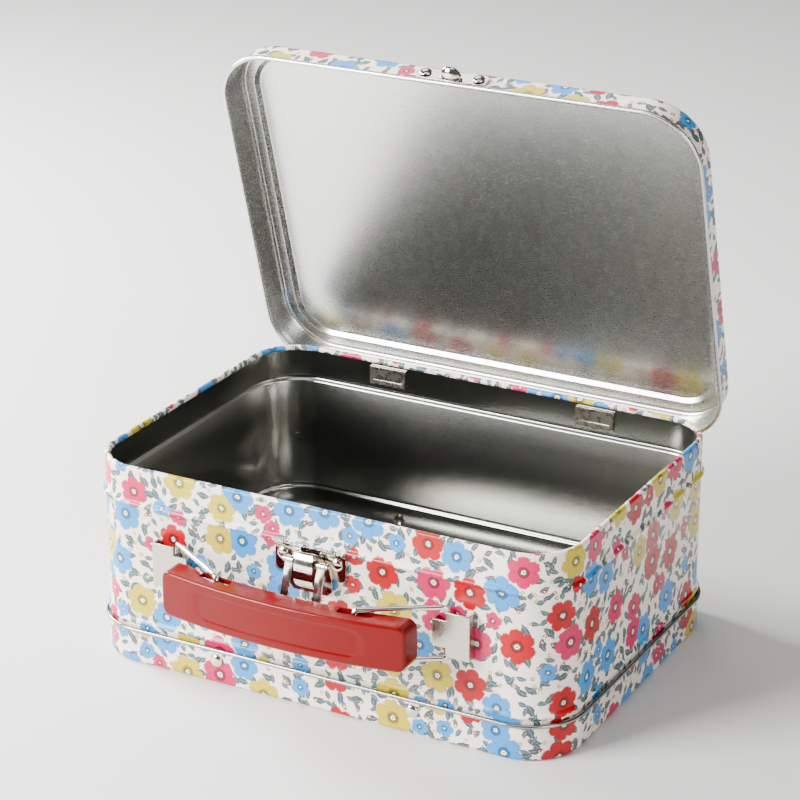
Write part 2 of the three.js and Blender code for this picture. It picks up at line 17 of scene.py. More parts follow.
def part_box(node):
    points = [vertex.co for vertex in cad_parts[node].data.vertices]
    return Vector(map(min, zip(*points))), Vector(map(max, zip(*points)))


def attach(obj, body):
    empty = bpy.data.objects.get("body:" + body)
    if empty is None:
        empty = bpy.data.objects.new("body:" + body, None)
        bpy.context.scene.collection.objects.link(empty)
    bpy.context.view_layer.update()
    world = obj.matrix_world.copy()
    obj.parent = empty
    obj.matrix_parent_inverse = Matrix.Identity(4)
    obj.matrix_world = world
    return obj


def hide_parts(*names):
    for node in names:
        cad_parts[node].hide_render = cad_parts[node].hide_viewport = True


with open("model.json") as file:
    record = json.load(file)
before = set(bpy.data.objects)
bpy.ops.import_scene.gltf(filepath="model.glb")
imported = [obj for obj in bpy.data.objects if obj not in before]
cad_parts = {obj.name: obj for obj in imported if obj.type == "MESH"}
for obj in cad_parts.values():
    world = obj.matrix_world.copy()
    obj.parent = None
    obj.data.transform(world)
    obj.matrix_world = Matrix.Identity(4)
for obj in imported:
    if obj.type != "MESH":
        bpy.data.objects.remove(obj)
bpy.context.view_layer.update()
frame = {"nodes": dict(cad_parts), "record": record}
joints = {joint["name"]: joint for joint in frame["record"]["behaviour"]["joints"]}

# %% [markdown]
# ## Sizes
# A drawn tin box is a handful of numbers: an outline with rounded corners, a sheet thickness, and the
# heights of its beads and curls. Naming them once, in metres, lets every profile below be read like a
# drawing. "Inset" is the distance inwards from the plain outside of the wall, so an outward bead is negative.

# %% Driving dimensions, in metres
MM = 0.001
HALF_X = 100 * MM
HALF_Y = 72.5 * MM
CORNER = 21 * MM
SHEET = 0.4 * MM
CORNER_STEPS = 18
RIM_TOP = 82 * MM
RIM_RADIUS = 1.2 * MM
BEADS = [(17.8 * MM, 1.6 * MM, 0.9 * MM), (67 * MM, 1.8 * MM, 1.2 * MM)]
CAP_OUT = 0.7 * MM
CAP_EDGE = 1.8 * MM
CAP_CURL = 0.4 * MM
CAP_CURL_Z = 14.4 * MM
LID_GAP = 0.4 * MM
LID_CURL = 0.9 * MM
LID_CURL_Z = 70.5 * MM
LID_JOG = 0.3 * MM
LEDGE_Z = 82.35 * MM
LEDGE_RADIUS = 1.8 * MM
LEDGE_INNER = 5 * MM
PANEL_RISE = 1.6 * MM
PAN_INSET = 8 * MM
NOTCH_HALF = 9.6 * MM
NOTCH_TOP = 73.9 * MM
HINGE_X = 47 * MM
print("body", 2 * HALF_X, "by", 2 * HALF_Y, "by", RIM_TOP)


# %% [markdown]
# ## Turning arrays into meshes
# Blender stores a mesh as flat arrays. Building the arrays in numpy and handing them over in one call is far
# quicker than adding vertices one at a time, and it keeps each shape a formula. This helper also records a
# UV map measured in millimetres, so that a printed pattern has a real size wherever it lies.

# %% Mesh helper
def new_piece(name, points, faces, materials, body, replaces, uv=None, slots=None):
    """A mesh from point rows and face index rows.

    uv holds one (u, v) in millimetres per face corner, and slots one material number per face.
    The piece rides on a CAD body and stands for the CAD nodes in replaces.
    """
    mesh = bpy.data.meshes.new(name)
    mesh.from_pydata(np.asarray(points).tolist(), [], faces if isinstance(faces, list) else faces.tolist())
    for material in materials:
        mesh.materials.append(material)
    if uv is not None:
        layer = mesh.uv_layers.new(name="print_mm")
        layer.data.foreach_set("uv", np.asarray(uv, dtype=np.float32).ravel())
    if slots is not None:
        mesh.polygons.foreach_set("material_index", np.asarray(slots, dtype=np.int32))
    mesh.shade_smooth()
    piece = bpy.data.objects.new(name, mesh)
    bpy.context.scene.collection.objects.link(piece)
    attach(piece, body)
    if replaces:
        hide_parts(*replaces)
    print(name, len(mesh.vertices), "vertices")
    return piece


def face_outwards(mesh, weld=0.0):
    """Merges vertices closer than weld, then turns every face outwards."""
    work = bmesh.new()
    work.from_mesh(mesh)
    if weld:
        bmesh.ops.remove_doubles(work, verts=work.verts, dist=weld)
    bmesh.ops.recalc_face_normals(work, faces=work.faces)
    work.to_mesh(mesh)
    work.free()


# %% [markdown]
# ## Materials
# A few finishes cover the whole box: lithographed white enamel with flowers, the bare tinplate behind it,
# bright nickel plate on the hardware and moulded red plastic. Each is made of nodes, so it stays sharp at
# any distance. First come a colour helper and one function that adds any node with its settings and links.

# %% Colour and node helpers
def linear(code):
    """An sRGB hex colour as linear RGBA: below 0.04045 divide by 12.92, above raise to the power 2.4."""
    srgb = np.array([int(code[i:i + 2], 16) for i in (1, 3, 5)]) / 255
    rgb = np.where(srgb <= 0.04045, srgb / 12.92, ((srgb + 0.055) / 1.055) ** 2.4)
    return (*rgb.tolist(), 1.0)


def add(tree, kind, *inputs, **settings):
    """Adds a ShaderNode of that kind. Of the inputs, a node or socket is linked, a value set and None left."""
    node = tree.nodes.new("ShaderNode" + kind)
    for key, value in settings.items():
        setattr(node, key, value)
    for socket, value in zip([s for s in node.inputs if s.enabled], inputs):
        if isinstance(value, bpy.types.Node):
            value = next(s for s in value.outputs if s.enabled)
        if isinstance(value, bpy.types.NodeSocket):
            tree.links.new(value, socket)
        elif value is not None:
            socket.default_value = value
    return node


def new_material(name):
    """An empty node material: its tree and its Principled shader, already joined to the output."""
    material = bpy.data.materials.new(name)
    material.use_nodes = True
    tree = material.node_tree
    tree.nodes.clear()
    shader = tree.nodes.new("ShaderNodeBsdfPrincipled")
    output = tree.nodes.new("ShaderNodeOutputMaterial")
    tree.links.new(shader.outputs[0], output.inputs[0])
    return material, tree, shader


# %% [markdown]
# ### The floral print
# The real print is a repeat drawn by hand. A convincing one-off comes from Voronoi cells: each cell gives one
# scattered centre and a random colour to dress a motif with. Around a centre we know the angle and the
# distance, and a flower is just an edge radius that swells once per petal. Small motifs look up the
# distance from their own centre to the nearest big flower and stay away, so nothing is drawn half hidden.

# %% Colours of the print
PAPER = linear("#F2E4D8")
INK = linear("#3D3D42")
BLUE = linear("#3587C8")
RED = linear("#A8000E")
PINK = linear("#BE1650")
YELLOW = linear("#BFAA2A")
SPRAY = linear("#4A6068")
LEAF = linear("#40585A")
BIG_CELL = 18.0
BIG_RADIUS = 7.0
SMALL_CELL = 10.0
SMALL_RADIUS = 3.8
LEAF_CELL = 6.9
SPRAY_CELL = 5.2
DOT_CELL = 4.3


# %% Motif helpers
def scatter(tree, where, cell, jitter):
    """Voronoi cells of that size in mm: the distance, random colour and centre of the nearest one."""
    cells = add(tree, "TexVoronoi", where, 1 / cell, voronoi_dimensions="2D", feature="F1")
    cells.inputs["Randomness"].default_value = jitter
    return cells


def around(tree, where, cells):
    """Distance from a cell's centre and angle about it, the angle turned by the cell's own random amount."""
    arm = add(tree, "VectorMath", where, cells.outputs["Position"], operation="SUBTRACT")
    parts = add(tree, "SeparateXYZ", arm)
    angle = add(tree, "Math", parts.outputs[1], parts.outputs[0], operation="ARCTAN2")
    random = add(tree, "SeparateColor", cells.outputs["Color"])
    turned = add(tree, "Math", random.outputs[2], math.tau, angle, operation="MULTIPLY_ADD")
    distance = add(tree, "VectorMath", arm, operation="LENGTH").outputs["Value"]
    return distance, turned, random


def inside(tree, value, edge, soft=0.06):
    """1 where value is below edge, falling to 0 over a soft line a few hundredths of a millimetre wide."""
    gap = add(tree, "Math", edge, value, operation="SUBTRACT")
    return add(tree, "Math", gap, soft, operation="DIVIDE", use_clamp=True)


def paint(tree, under, over, mask):
    """The colour over laid on the colour under where mask is 1."""
    mix = add(tree, "Mix", data_type="RGBA")
    for socket, value in zip((mix.inputs[0], mix.inputs[6], mix.inputs[7]), (mask, under, over)):
        if isinstance(value, tuple):
            socket.default_value = value
        else:
            tree.links.new(value if isinstance(value, bpy.types.NodeSocket) else value.outputs[0], socket)
    return mix.outputs[2]


def flower(tree, below, where, cells, radius, petals, colours, allowed):
    """A flower in each cell: edge radius = radius x (0.72 + 0.28 |cos(petals x angle / 2)| ^ 0.5).

    Each cell's random colour also stretches the distance, so no two flowers have quite the same size.
    """
    distance, angle, random = around(tree, where, cells)
    stretch = add(tree, "MapRange", random.outputs[1], 0.0, 1.0, 1.18, 0.93)
    distance = add(tree, "Math", distance, stretch, operation="MULTIPLY")
    wave = add(tree, "Math", add(tree, "Math", angle, petals / 2, operation="MULTIPLY"), operation="COSINE")
    lobe = add(tree, "Math", add(tree, "Math", wave, operation="ABSOLUTE"), 0.5, operation="POWER")
    edge = add(tree, "Math", lobe, 0.28 * radius, 0.72 * radius, operation="MULTIPLY_ADD")
    ramp = add(tree, "ValToRGB", random.outputs[0])
    ramp.color_ramp.interpolation = "CONSTANT"
    for index, (start, colour) in enumerate(colours):
        stop = ramp.color_ramp.elements[index] if index < 2 else ramp.color_ramp.elements.new(start)
        stop.position, stop.color = start, colour
    # Brushed shading: the petal deepens towards the middle, and a notch line parts each pair of petals.
    depth = add(tree, "Math", distance, 1 / radius, operation="MULTIPLY")
    part = add(tree, "Math", lobe, add(tree, "Math", depth, 0.34, 0.02, operation="MULTIPLY_ADD"),
               operation="LESS_THAN")
    tone = add(tree, "HueSaturation", 0.5, 1.1, 0.5, 1.0, ramp)
    petal = paint(tree, ramp.outputs[0], tone.outputs[0], part)
    core = inside(tree, distance, 0.36 * radius)
    petal = paint(tree, petal, tone.outputs[0], core)
    whole = add(tree, "Math", inside(tree, distance, edge), allowed, operation="MULTIPLY")
    rim = add(tree, "Math", edge, 0.28, operation="ADD")
    line = add(tree, "Math", inside(tree, distance, rim), allowed, operation="MULTIPLY")
    shade = add(tree, "Math", line, 0.5, operation="MULTIPLY")
    result = paint(tree, below, INK, shade)
    result = paint(tree, result, petal, whole)
    for size, colour in ((0.23, INK), (0.15, linear("#F3EAD2")), (0.07, YELLOW)):
        spot = add(tree, "Math", inside(tree, distance, size * radius), allowed, operation="MULTIPLY")
        result = paint(tree, result, colour, spot)
    return result


def sprig(tree, below, where, cells, length, width, colour, allowed):
    """A leaf in each cell: |across| < width x (1 - (along / length)^2), outlined, veined and on a thin stalk.

    Adding 0.05 along^2 to the across distance curves the whole leaf.
    """
    distance, angle, random = around(tree, where, cells)
    along = add(tree, "Math", distance, add(tree, "Math", angle, operation="COSINE"), operation="MULTIPLY")
    across = add(tree, "Math", distance, add(tree, "Math", angle, operation="SINE"), operation="MULTIPLY")
    square = add(tree, "Math", along, along, operation="MULTIPLY")
    curved = add(tree, "Math", square, 0.05, across, operation="MULTIPLY_ADD")
    off = add(tree, "Math", curved, operation="ABSOLUTE")
    swell = add(tree, "Math", square, -width / length ** 2, width, operation="MULTIPLY_ADD")
    wide = add(tree, "Math", swell, 0.2, operation="ADD")
    stem = inside(tree, off, 0.17)
    stalk = add(tree, "Math", stem, inside(tree, distance, 1.1 * length), operation="MULTIPLY")
    line = add(tree, "Math", inside(tree, off, wide), stalk, operation="MAXIMUM")
    result = paint(tree, below, INK, add(tree, "Math", line, allowed, operation="MULTIPLY"))
    blade = add(tree, "Math", inside(tree, off, swell), allowed, operation="MULTIPLY")
    result = paint(tree, result, colour, blade)
    vein = add(tree, "Math", inside(tree, off, 0.12), blade, operation="MULTIPLY")
    return paint(tree, result, PAPER, add(tree, "Math", vein, 0.25, operation="MULTIPLY"))


# %% Printed enamel
enamel, tree, shader = new_material("lithographed_white_enamel")
where = add(tree, "UVMap", uv_map="print_mm")
wobble = add(tree, "TexNoise", where, 0.9, 2.0, noise_dimensions="2D")
shift = add(tree, "VectorMath", wobble.outputs["Color"], (0.5, 0.5, 0.5), operation="SUBTRACT")
drawn = add(tree, "VectorMath", shift, (0.9, 0.9, 0), where, operation="MULTIPLY_ADD")
big = scatter(tree, drawn, BIG_CELL, 0.72)
small = scatter(tree, drawn, SMALL_CELL, 0.8)
leaf = scatter(tree, drawn, LEAF_CELL, 0.85)
spray = scatter(tree, drawn, SPRAY_CELL, 0.95)
dots = scatter(tree, drawn, DOT_CELL, 0.9)


def clear_of(cells, others, room):
    """1 where a cell's centre is at least room from the nearest centre of the other cells."""
    probe = scatter(tree, cells.outputs["Position"], 1 / others.inputs["Scale"].default_value,
                    others.inputs["Randomness"].default_value)
    return add(tree, "Math", probe.outputs["Distance"], room, operation="GREATER_THAN")


# Blender measures the Voronoi distance in cells, so a room in millimetres is divided by the cell size.
small_ok = clear_of(small, big, (BIG_RADIUS + SMALL_RADIUS * 0.75) / BIG_CELL)
leaf_ok = clear_of(leaf, big, (BIG_RADIUS - 1.5) / BIG_CELL)
spray_ok = clear_of(spray, big, BIG_RADIUS / BIG_CELL)
dot_ok = clear_of(dots, big, (BIG_RADIUS + 0.5) / BIG_CELL)

colour = sprig(tree, PAPER, drawn, leaf, 2.7, 1.15, LEAF, leaf_ok)
colour = sprig(tree, colour, drawn, spray, 1.9, 0.8, SPRAY, spray_ok)

# Tiny blossoms and dots fill the gaps.
distance, angle, random = around(tree, drawn, dots)
some = add(tree, "Math", random.outputs[1], 0.52, operation="GREATER_THAN")
shown = add(tree, "Math", some, dot_ok, operation="MULTIPLY")
ring = add(tree, "Math", inside(tree, distance, 0.8), shown, operation="MULTIPLY")
heart = add(tree, "Math", inside(tree, distance, 0.42), shown, operation="MULTIPLY")
berry = paint(tree, linear("#871226"), linear("#AD932E"),
              add(tree, "Math", random.outputs[0], 0.5, operation="GREATER_THAN").outputs[0])
colour = paint(tree, colour, berry, ring)
colour = paint(tree, colour, linear("#F0E2B8"), heart)

colour = flower(tree, colour, drawn, small, SMALL_RADIUS, 5,
                [(0.0, PINK), (0.3, BLUE), (0.62, RED), (0.8, PINK)], small_ok)
always = add(tree, "Value")
always.outputs[0].default_value = 1.0
colour = flower(tree, colour, drawn, big, BIG_RADIUS, 6,
                [(0.0, BLUE), (0.42, RED), (0.62, PINK), (0.8, YELLOW)], always)
tree.links.new(colour, shader.inputs["Base Color"])
shader.inputs["Roughness"].default_value = 0.22
shader.inputs["IOR"].default_value = 1.5
shader.inputs["Specular IOR Level"].default_value = 0.3
print(enamel.name, len(tree.nodes), "nodes")


# %% [markdown]
# ### Bare tinplate, nickel plate and red plastic
# Tinplate is rolled steel with a thin layer of tin: a blurred mirror with faint streaks along the rolling
# direction and a fine grain. Nickel plate on small stampings is much sharper and a little warm. The grip is
# injection-moulded ABS, which has a saturated colour under a clear, slightly soft gloss. The inside of the
# body and the base cap's curl get a darker copy of the tin: painted shade for the dim inside of the box.

# %% Metal and plastic
def tinplate(name, code, smooth, rough):
    """Rolled sheet of that colour: roughness from smooth to rough in streaks, plus a little fine grain."""
    material, tree, shader = new_material(name)
    place = add(tree, "TexCoord")
    stretch = add(tree, "Mapping", place.outputs["Object"])
    stretch.inputs["Scale"].default_value = (500, 2500, 2500)
    streaks = add(tree, "TexNoise", stretch, 1.0, 4.0)
    grain = add(tree, "TexNoise", place.outputs["Object"], 1400.0, 2.0)
    tone = add(tree, "MapRange", streaks.outputs[0], 0.3, 0.7, smooth, rough)
    fine = add(tree, "Math", grain.outputs[0], 0.03, tone, operation="MULTIPLY_ADD")
    tree.links.new(fine.outputs[0], shader.inputs["Roughness"])
    shader.inputs["Base Color"].default_value = linear(code)
    shader.inputs["Metallic"].default_value = 1.0
    bump = add(tree, "Bump", 0.008, 0.0002)
    tree.links.new(grain.outputs[0], bump.inputs["Height"])
    tree.links.new(bump.outputs[0], shader.inputs["Normal"])
    return material


tin = tinplate("rolled_tinplate", "#CDCDC9", 0.235, 0.265)
# A darker copy of the tin. Its colour is painted shade for the dim inside of the box, and it is used inside
# the body and on the base cap.
painted_shade_tin = tinplate("lacquered_tinplate", "#989892", 0.18, 0.23)

def nickel_plate(name, code, smooth, rough):
    """Warm plate of that colour on steel, its roughness drifting like a thin haze of handling."""
    material, tree, shader = new_material(name)
    place = add(tree, "TexCoord")
    haze = add(tree, "TexNoise", place.outputs["Object"], 500.0, 3.0)
    tone = add(tree, "MapRange", haze.outputs[0], 0.35, 0.65, smooth, rough)
    tree.links.new(tone.outputs[0], shader.inputs["Roughness"])
    shader.inputs["Base Color"].default_value = linear(code)
    shader.inputs["Metallic"].default_value = 1.0
    return material


nickel = nickel_plate("nickel_plated_steel", "#E2DBD2", 0.06, 0.14)
satin = nickel_plate("satin_nickel_steel", "#BDB4A8", 0.24, 0.32)

plastic, tree, shader = new_material("moulded_red_abs")
place = add(tree, "TexCoord")
ripple = add(tree, "TexNoise", place.outputs["Object"], 90.0, 2.0)
tone = add(tree, "MapRange", ripple.outputs[0], 0.3, 0.7, 0.14, 0.2)
tree.links.new(tone.outputs[0], shader.inputs["Roughness"])
shader.inputs["Base Color"].default_value = linear("#660000")
shader.inputs["IOR"].default_value = 1.53
shader.inputs["Specular IOR Level"].default_value = 0.2
print("materials", [m.name for m in (enamel, tin, painted_shade_tin, nickel, satin, plastic)])


# %% [markdown]
# ## Sheet metal carried round a rounded rectangle
# The band, the base cap and the lid are all one idea: a thin profile carried round the same outline. A
# path that follows the outline gives a foot point and an outward normal at every step; a profile
# point then lands at foot - inset x normal. Both are arrays, so the whole surface is one product.

# %% Outline and profiles
def outline(half_x, half_y, corner, steps, marks=(), straight=8):
    """Feet, outward normals and running length round a rounded rectangle, starting at the back middle.

    Each straight side runs between corner centres; each corner is centre + corner x (cos, sin).
    """
    feet, normals = [], []
    for turn in range(4):
        start = math.radians(90 + 90 * turn)
        sweep = np.linspace(start, start + math.pi / 2, steps + 1)
        middle = start + math.pi / 4
        cx = math.copysign(half_x - corner, math.cos(middle))
        cy = math.copysign(half_y - corner, math.sin(middle))
        unit = np.stack([np.cos(sweep), np.sin(sweep)], axis=1)
        feet.append(np.array([cx, cy]) + corner * unit)
        normals.append(unit)
    path_feet, path_normals = [], []
    for turn in range(4):
        path_feet.append(feet[turn])
        path_normals.append(normals[turn])
        after = feet[(turn + 1) % 4][0]
        before = feet[turn][-1]
        t = np.linspace(0, 1, straight + 2)[1:-1]
        if turn == 3 and marks:
            xs = np.union1d(np.linspace(before[0], after[0], straight + 2)[1:-1], np.array(marks))
            xs = np.sort(xs)[::-1]
            t = (xs - before[0]) / (after[0] - before[0])
        path_feet.append(before + t[:, None] * (after - before))
        path_normals.append(np.repeat(normals[turn][-1][None], len(t), axis=0))
    feet, normals = np.concatenate(path_feet), np.concatenate(path_normals)
    step = np.linalg.norm(np.diff(np.vstack([feet, feet[:1]]), axis=0), axis=1)
    return feet, normals, np.concatenate([[0], np.cumsum(step)])


def bend_arc(inset, z, radius, start, end, steps):
    """Points (inset + radius cos a, z + radius sin a) for a from start to end degrees."""
    a = np.radians(np.linspace(start, end, steps + 1))
    return np.stack([inset + radius * np.cos(a), z + radius * np.sin(a)], axis=1)


def bead(z, half, height, steps=14):
    """A rolled bead: inset = -height x cos(pi t / 2)^1.5 for t from -1 to 1."""
    t = np.linspace(-1, 1, steps + 1)
    return np.stack([-height * np.clip(np.cos(np.pi * t / 2), 0, None) ** 1.5, z + t * half], axis=1)


def offset(line, thickness):
    """The same line moved sideways to its right by thickness, along the mean normal at each point."""
    ahead = np.diff(line, axis=0)
    ahead = ahead / np.linalg.norm(ahead, axis=1, keepdims=True)
    ahead = np.vstack([ahead[:1], (ahead[:-1] + ahead[1:]) / 2, ahead[-1:]])
    ahead = ahead / (np.linalg.norm(ahead, axis=1, keepdims=True) ** 2)
    return line + thickness * np.stack([ahead[:, 1], -ahead[:, 0]], axis=1)


def shell(profile, path, closed):
    """Grid of points foot - inset x normal at height z, with quads, UVs in mm and each quad's row.

    closed joins the last profile row to the first; otherwise both ends are left open.
    """
    feet, normals, run = path
    rows, columns = len(profile), len(feet)
    xy = feet[None] - profile[:, :1, None] * normals[None]
    z = np.broadcast_to(profile[:, 1, None, None], (rows, columns, 1))
    points = np.concatenate([xy, z], axis=2).reshape(-1, 3)
    r = np.arange(rows if closed else rows - 1)[:, None]
    c = np.arange(columns)[None]
    r2, c2 = (r + 1) % rows, (c + 1) % columns
    quads = np.stack([r * columns + c, r * columns + c2, r2 * columns + c2, r2 * columns + c], axis=2)
    length = np.concatenate([[0], np.cumsum(np.linalg.norm(np.diff(profile, axis=0), axis=1))])
    length = np.append(length, length[-1])
    u = np.stack([run[c], run[c + 1], run[c + 1], run[c]], axis=2) + 0 * length[r][..., None]
    v = np.stack([length[r], length[r], length[r + 1], length[r + 1]], axis=2) + 0 * run[c][..., None]
    uv = np.stack([u, v], axis=3) / MM
    row = np.broadcast_to(r, (len(r), columns))
    return points, quads.reshape(-1, 4), uv.reshape(-1, 4, 2), row.ravel()


def flat_ends(points, faces, uv, columns, path_rows):
    """Fans that fill the first and last profile rows to the middle, with UVs read straight from x and y."""
    out_faces, out_uv = faces.tolist(), [list(map(tuple, q)) for q in uv]
    points = points.tolist()
    fans = []
    for row, flip in ((0, True), (path_rows - 1, False)):
        centre = len(points)
        points.append([0.0, 0.0, points[row * columns][2]])
        for c in range(columns):
            a, b = row * columns + c, row * columns + (c + 1) % columns
            tri = [centre, b, a] if flip else [centre, a, b]
            fans.append(len(out_faces))
            out_faces.append(tri)
            out_uv.append([(points[i][0] / MM, points[i][1] / MM) for i in tri])
    return np.array(points), out_faces, out_uv, fans


path = outline(HALF_X, HALF_Y, CORNER, CORNER_STEPS)
print("outline", len(path[0]), "steps,", round(path[2][-1] / MM), "mm round")

# %% [markdown]
# ## The body band
# One printed strip is bent round, seamed, beaded twice and rolled over at the top, so the print is seen on
# the rim roll as well. Outside faces take the enamel and inside faces the bare tin, which is decided by the
# profile row a face belongs to.

# %% Body band
rim = bend_arc(RIM_RADIUS, RIM_TOP - RIM_RADIUS, RIM_RADIUS, 180, -40, 20)
line = np.vstack([[[0, 1.3 * MM]], bead(*BEADS[0]), bead(*BEADS[1]), rim])
profile = np.vstack([line, offset(line, SHEET)[::-1]])
points, quads, uv, row = shell(profile, path, closed=True)
# Inside faces take the darker tin, whose colour is painted shade for the dim inside of the box.
slots = np.where(row < len(line) - 1, 0, 1)
band = new_piece("printed_band", points, quads, [enamel, painted_shade_tin], "body", ["body_band"],
                 uv.reshape(-1, 2), slots)


# %% [markdown]
# ## Base cap and lid
# Both are shallow pans pressed from one sheet with a curled edge. The curl shows bare metal, because the
# print stops short of it. The lid is built shut, where its numbers are simple, and then swung open by the
# hinge's own range. Notches in its mouth leave room for the hinge barrels.

# %% Pans
def pan(name, line, metal, path, bare_rows, body, replaces, inner_first, turn=None, drop=None):
    """A pressed pan: line is one face of the sheet, offset gives the other, fans fill the flat middles."""
    profile = np.vstack([line, offset(line, SHEET)[::-1]])
    points, quads, uv, row = shell(profile, path, closed=False)
    if drop is not None:
        middle = points[quads].mean(axis=1)
        keep = ~drop(middle)
        quads, uv, row = quads[keep], uv[keep], row[keep]
    half = len(line)
    first, second = (1, 0) if inner_first else (0, 1)
    slots = np.where(row < half - 1, first, second)
    slots = np.where((row >= half - 1 - bare_rows) & (row < half + bare_rows), 1, slots)
    columns = len(path[0])
    flat = np.abs(points[quads][:, :, 2].max(axis=1) - points[quads][:, :, 2].min(axis=1)) < 1e-6
    uv[flat] = points[quads[flat]][:, :, :2] / MM
    points, faces, uv, fans = flat_ends(points, quads, uv, columns, len(profile))
    slots = slots.tolist() + [first] * columns + [second] * columns
    if turn is not None:
        points = points @ np.array(turn.to_3x3()).T + np.array(turn.translation)
    uv = [corner for face in uv for corner in face]
    piece = new_piece(name, points, faces, [enamel, metal], body, replaces, uv, slots)
    face_outwards(piece.data)
    piece.data.shade_smooth()
    piece.data.set_sharp_from_angle(angle=math.radians(40))
    return piece


cap_line = np.vstack([
    [[PAN_INSET, 0]],
    bend_arc(CAP_EDGE - CAP_OUT, CAP_EDGE, CAP_EDGE, 270, 180, 8),
    bend_arc(-CAP_OUT - CAP_CURL, CAP_CURL_Z, CAP_CURL, 0, 230, 14),
])
# The cap's inside and curl take the darker tin, whose colour is painted shade for the dim inside of the box.
pan("base_pan", cap_line, painted_shade_tin, path, 14, "body", ["base_cap"], inner_first=False)

lid_joint = joints["lid_hinge"]
pivot = Vector(lid_joint["pos_m"])
swing = math.radians(-lid_joint["range_deg"][0])
about_hinge = Matrix.Rotation(swing, 4, Vector(lid_joint["axis"]))
opened = Matrix.Translation(pivot) @ about_hinge @ Matrix.Translation(-pivot)
start = -LID_GAP - LID_JOG
lid_line = np.vstack([
    [[PAN_INSET, LEDGE_Z + PANEL_RISE]],
    bend_arc(LEDGE_INNER + PANEL_RISE + 0.25 * MM, LEDGE_Z + PANEL_RISE - 0.6 * MM, 0.6 * MM, 90, 135, 4),
    bend_arc(LEDGE_INNER - 0.25 * MM, LEDGE_Z + 0.6 * MM, 0.6 * MM, -45, -90, 4),
    bend_arc(LEDGE_RADIUS - LID_GAP, LEDGE_Z - LEDGE_RADIUS, LEDGE_RADIUS, 90, 180, 10),
    [[-LID_GAP, NOTCH_TOP]],
    [[-LID_GAP, LID_CURL_Z + 2 * MM]],
    bend_arc(start - LID_CURL, LID_CURL_Z, LID_CURL, 20, -220, 20),
])
marks = [side * HINGE_X + edge * NOTCH_HALF for side in (-1, 1) for edge in (-1, 1)]
lid_path = outline(HALF_X, HALF_Y, CORNER, CORNER_STEPS, marks)


def in_notch(middle):
    """True for faces at the back whose middle is within a hinge's notch."""
    beside = np.abs(np.abs(middle[:, 0]) - HINGE_X) < NOTCH_HALF
    return beside & (middle[:, 1] > 0) & (middle[:, 2] < NOTCH_TOP)


pan("printed_lid", lid_line, tin, lid_path, 20, "lid", ["lid"], True, opened, in_notch)


# %% [markdown]
# ## Hardware
# The leaves, plates, covers, lever and loop are small stampings. Their CAD meshes are already right, so each
# is copied, its loose triangles are merged and its edges get a tiny bevel: stamped sheet never has a
# perfectly sharp edge, and the highlight along that bevel is what makes it read as metal. The hinge leaves
# curl tightly round their pins with little room between them, so theirs is a third as wide.

# %% Soft-edged copies of CAD nodes
def softened(node, width, material, body):
    """A merged copy of a CAD node with bevelled, smooth-shaded edges."""
    mesh = frame["nodes"][node].data.copy()
    mesh.name = node + "_soft"
    work = bmesh.new()
    work.from_mesh(mesh)
    bmesh.ops.remove_doubles(work, verts=work.verts, dist=0.002 * MM)
    bmesh.ops.dissolve_limit(work, angle_limit=math.radians(1), verts=work.verts, edges=work.edges)
    bmesh.ops.recalc_face_normals(work, faces=work.faces)
    work.to_mesh(mesh)
    work.free()
    mesh.materials.clear()
    mesh.materials.append(material)
    mesh.shade_smooth()
    mesh.set_sharp_from_angle(angle=math.radians(35))
    piece = bpy.data.objects.new(node + "_piece", mesh)
    bpy.context.scene.collection.objects.link(piece)
    edge = piece.modifiers.new("edge", "BEVEL")
    edge.width = width
    edge.segments = 2
    edge.limit_method = "ANGLE"
    edge.angle_limit = math.radians(40)
    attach(piece, body)
    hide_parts(node)
    return piece


EDGE_BEVEL = 0.12 * MM
LEAF_BEVEL = 0.04 * MM
node_body = {node: body for body, nodes in frame["record"]["behaviour"]["bodies"].items() for node in nodes}
STAMPED = [
    "hinge_body_leaf_left", "hinge_body_leaf_right", "hinge_lid_leaf_left", "hinge_lid_leaf_right",
    "hinge_pin_left", "hinge_pin_right", "lid_catch", "latch_base", "latch_lever", "latch_lever_pin",
    "latch_loop", "handle_bracket_left", "handle_bracket_right",
]
for node in STAMPED:
    dull = "leaf" in node or "bracket" in node
    width = LEAF_BEVEL if "leaf" in node else EDGE_BEVEL
    softened(node, width, satin if dull else nickel, node_body[node])
print("softened", len(STAMPED), "stampings")


# %% [markdown]
# ### Rivets and wire
# A rivet is a surface of revolution, a profile turned about its axis. The wire ring is a circle
# carried round a small rounded rectangle, the same idea as the sheets, here with a round section.

